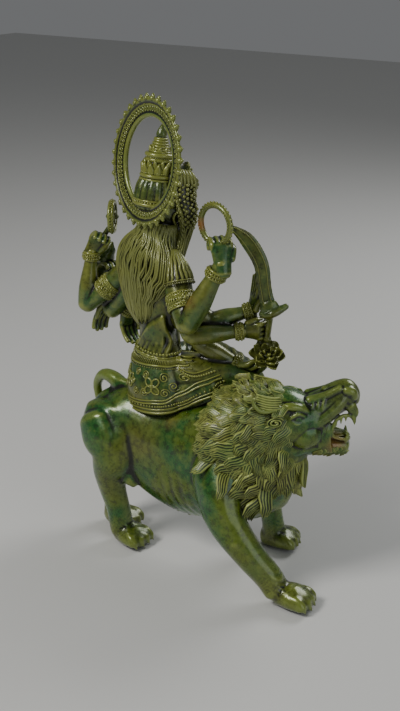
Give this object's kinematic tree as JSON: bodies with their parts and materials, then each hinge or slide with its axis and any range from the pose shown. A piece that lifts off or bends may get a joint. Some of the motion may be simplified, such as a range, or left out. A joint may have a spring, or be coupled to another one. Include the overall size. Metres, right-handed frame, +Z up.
{
  "type": "durga figure",
  "caption": "Many-armed goddess riding side-saddle on a striding lion, with a crown, a leafy halo ring and raised emblems, a cast bronze statuette that stands on the lion's paws.",
  "frame": {"origin": "on the ground under the middle of the whole work's box", "axes": "+Z up, +X towards the lion's front, +Y to the lion's left side, where the goddess faces"},
  "size_m": [0.3088, 0.1626, 0.4778],
  "materials": {
    "lion_bronze": "cast bronze under a glossy green patina, darker in the mane and stained brown",
    "goddess_bronze": "cast bronze under an olive patina, rubbed yellow on the raised work and dark in its hollows",
    "halo_bronze": "cast bronze under an olive patina, rubbed on the leaf tips"
  },
  "bodies": {
    "root": {"lion": "lion_bronze", "goddess": "goddess_bronze", "halo": "halo_bronze"}
  },
  "joints": []
}
